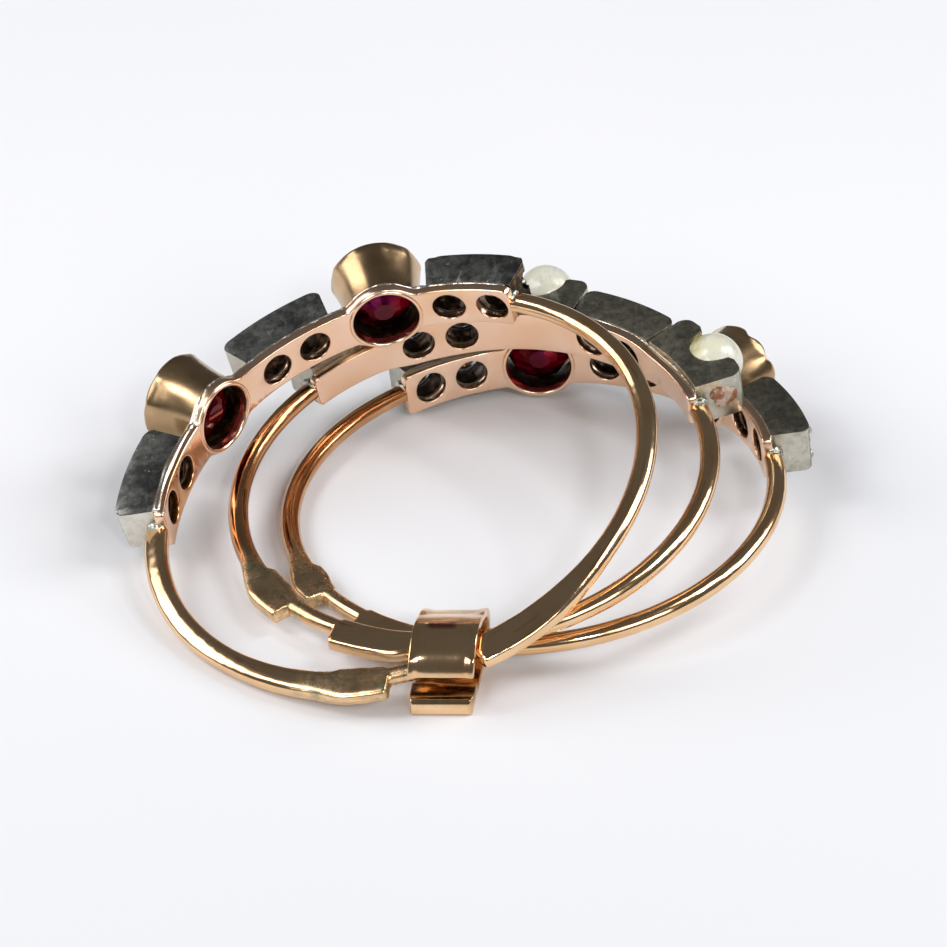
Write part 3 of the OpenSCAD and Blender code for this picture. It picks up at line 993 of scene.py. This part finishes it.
# Painted reflection of the rubies on the collar's top
ruby_reflection_on_collar = [(x, -0.62, 2.83) for x in (-0.45, -0.25, -0.05, 0.15)]
rim_of_right_cup = [at_setting(BOTTOM, 3) @ Vector((x, 0.9, CUP_H)) for x in (-1, 1)]
# Painted highlight on the corner of the left box
highlight_on_left_box = [bent(TOP, head_end(TOP, -1), BOX_TOP - 0.15, PLATE_W / 2)]
ruby_places = [(h, place) for h in (TOP, BOTTOM) for place in CUP_PLACES[h]]
ruby_glint_h = CUP_H - 1.7
# Places of the rubies' painted glints and violet highlights
ruby_glint_spots = [at_setting(h, place) @ Vector((x, y, ruby_glint_h))
              for h, place in ruby_places for x, y in ((-0.1, -0.8), (0.4, 0.8))]
ruby_violet_highlight_spots = [at_setting(h, place) @ Vector((-0.8, 0, ruby_glint_h))
             for h, place in ruby_places if (h, place) != (TOP, 1)]
stone_points = [at_hole(h, place, side) @ Vector((0, 0, STONE_SHADE_H))
                for h in HOOPS for place in BOX_PLACES[h] for side in (-1, 1)]
edge_of_right_pearl = [at_setting(MIDDLE, 4) @ Vector((-0.95, 0.15 + along, out))
                       for along, out in ((0.4, 1.95), (0.25, 1.65), (-0.05, 1.4))]

# Materials

plate_metal = plate_gold(left_end_of_top_plate)
wire_metal = wire_gold("wire_gold", solder_on_bars, warm=red_reflection_on_lower_shanks)
collar_metal = wire_gold("collar_gold", far_side_of_collar, shade_spots=shade_inside_collar_lip, ruby_reflection=ruby_reflection_on_collar,
                         streaky=0.2)
cup_metal = cup_gold(rim_of_right_cup)
seam_metal = seam_gold()
solder_metal = solder()
copper_reflection_metal = copper_solder()
dull_silver = silver("dull_silver", rgb(0.09, 0.094, 0.09), rgb(0.28, 0.28, 0.26), rgb(0.62, 0.64, 0.64),
                     0.27, bare=highlight_on_left_box)
olive_silver = silver("olive_silver", rgb(0.17, 0.165, 0.13), rgb(0.36, 0.34, 0.27), rgb(0.58, 0.58, 0.53),
                      0.3)
# Paler silver for the grains and the lower settings' ends; on the ends its paleness is a painted highlight
bright_silver = silver("bright_silver", rgb(0.36, 0.35, 0.28), rgb(0.56, 0.53, 0.44), rgb(0.8, 0.79, 0.75),
                       0.2)
# Rubbed silver for the rounded edges and the top settings' ends, pale and half matt: wear and a painted
# highlight
worn_silver = silver("worn_silver", rgb(0.56, 0.54, 0.47), rgb(0.74, 0.71, 0.64), rgb(0.9, 0.88, 0.83),
                     0.28, metallic=0.4)
# Painted shade for the insides of the holes and ruby cups
hole_shade = grime()
tarnish = green_tarnish()
ruby_material = ruby_red(ruby_glint_spots, ruby_violet_highlight_spots)
stone_material = white_stone(stone_points)
pearl_material = pearl_cream(edge_of_right_pearl)

# The ring

collar(collar_metal)
for h, body in enumerate(BODIES):
    shank(h, body, wire_metal)
    plate(h, body, plate_metal)
    seam(h, body, seam_metal)
    grains(h, body, bright_silver)
    if h != MIDDLE:
        for place, side in zip(CUP_PLACES[h], SIDE_NAMES):
            notch = 0.22 if (h, place) == (BOTTOM, 3) else 0.1
            ruby_cup(h, place, body + "_ruby_cup_" + side, body, [cup_metal, plate_metal, hole_shade], notch)
    ends = [(head_end(h, side, 0.2), 0.45, 0.2, (0.34, 0.22, 0.26)) for side in (-1, 1)]
    solder_and_reflection_lumps(h, body, body + "_solder", solder_metal, ends)
    # The settings' ends get paler silver, a painted highlight
    grey, highlit_ends_silver = (dull_silver, worn_silver) if h == TOP else (olive_silver, bright_silver)
    for place, name in zip(BOX_PLACES[h], SIDE_NAMES if h == MIDDLE else ROW_NAMES):
        longer = 0.2 if (h, place) == (TOP, 4) else 0
        softened(h, place, body + "_box_" + name, body, [grey, hole_shade, highlit_ends_silver, worn_silver],
                 hole_faces(h, place), longer=longer)
for place, name in zip(CUP_PLACES[MIDDLE], ROW_NAMES):
    softened(MIDDLE, place, "pearl_cup_" + name, "middle",
             [olive_silver, tarnish, bright_silver, worn_silver], dish_faces(place), horns=0.42)
    nudge = (-0.2, -0.2, 0.2) if place == 2 else (-0.08, 0, 0.02)
    pearl(place, "pearl_" + name, pearl_material, nudge)
# Coppery lumps on the right pearl cup's end: a painted reflection of the gold
patch_end = head_end(MIDDLE, 1, 0.02)
solder_and_reflection_lumps(MIDDLE, "middle", "copper_patch", copper_reflection_metal,
             [(patch_end, 1.25, 0.25, (0.36, 0.12, 0.3)),
              (patch_end, 1.65, 0.1, (0.34, 0.11, 0.36)),
              (patch_end, 1.35, -0.15, (0.3, 0.11, 0.26))])

# The rubies and small stones are the CAD's own solids
for name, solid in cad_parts.items():
    for word, material in (("ruby", ruby_material), ("stone", stone_material)):
        if word in name:
            for s in solid.material_slots:
                s.material = material

bpy.context.scene.view_settings.view_transform = "Standard"
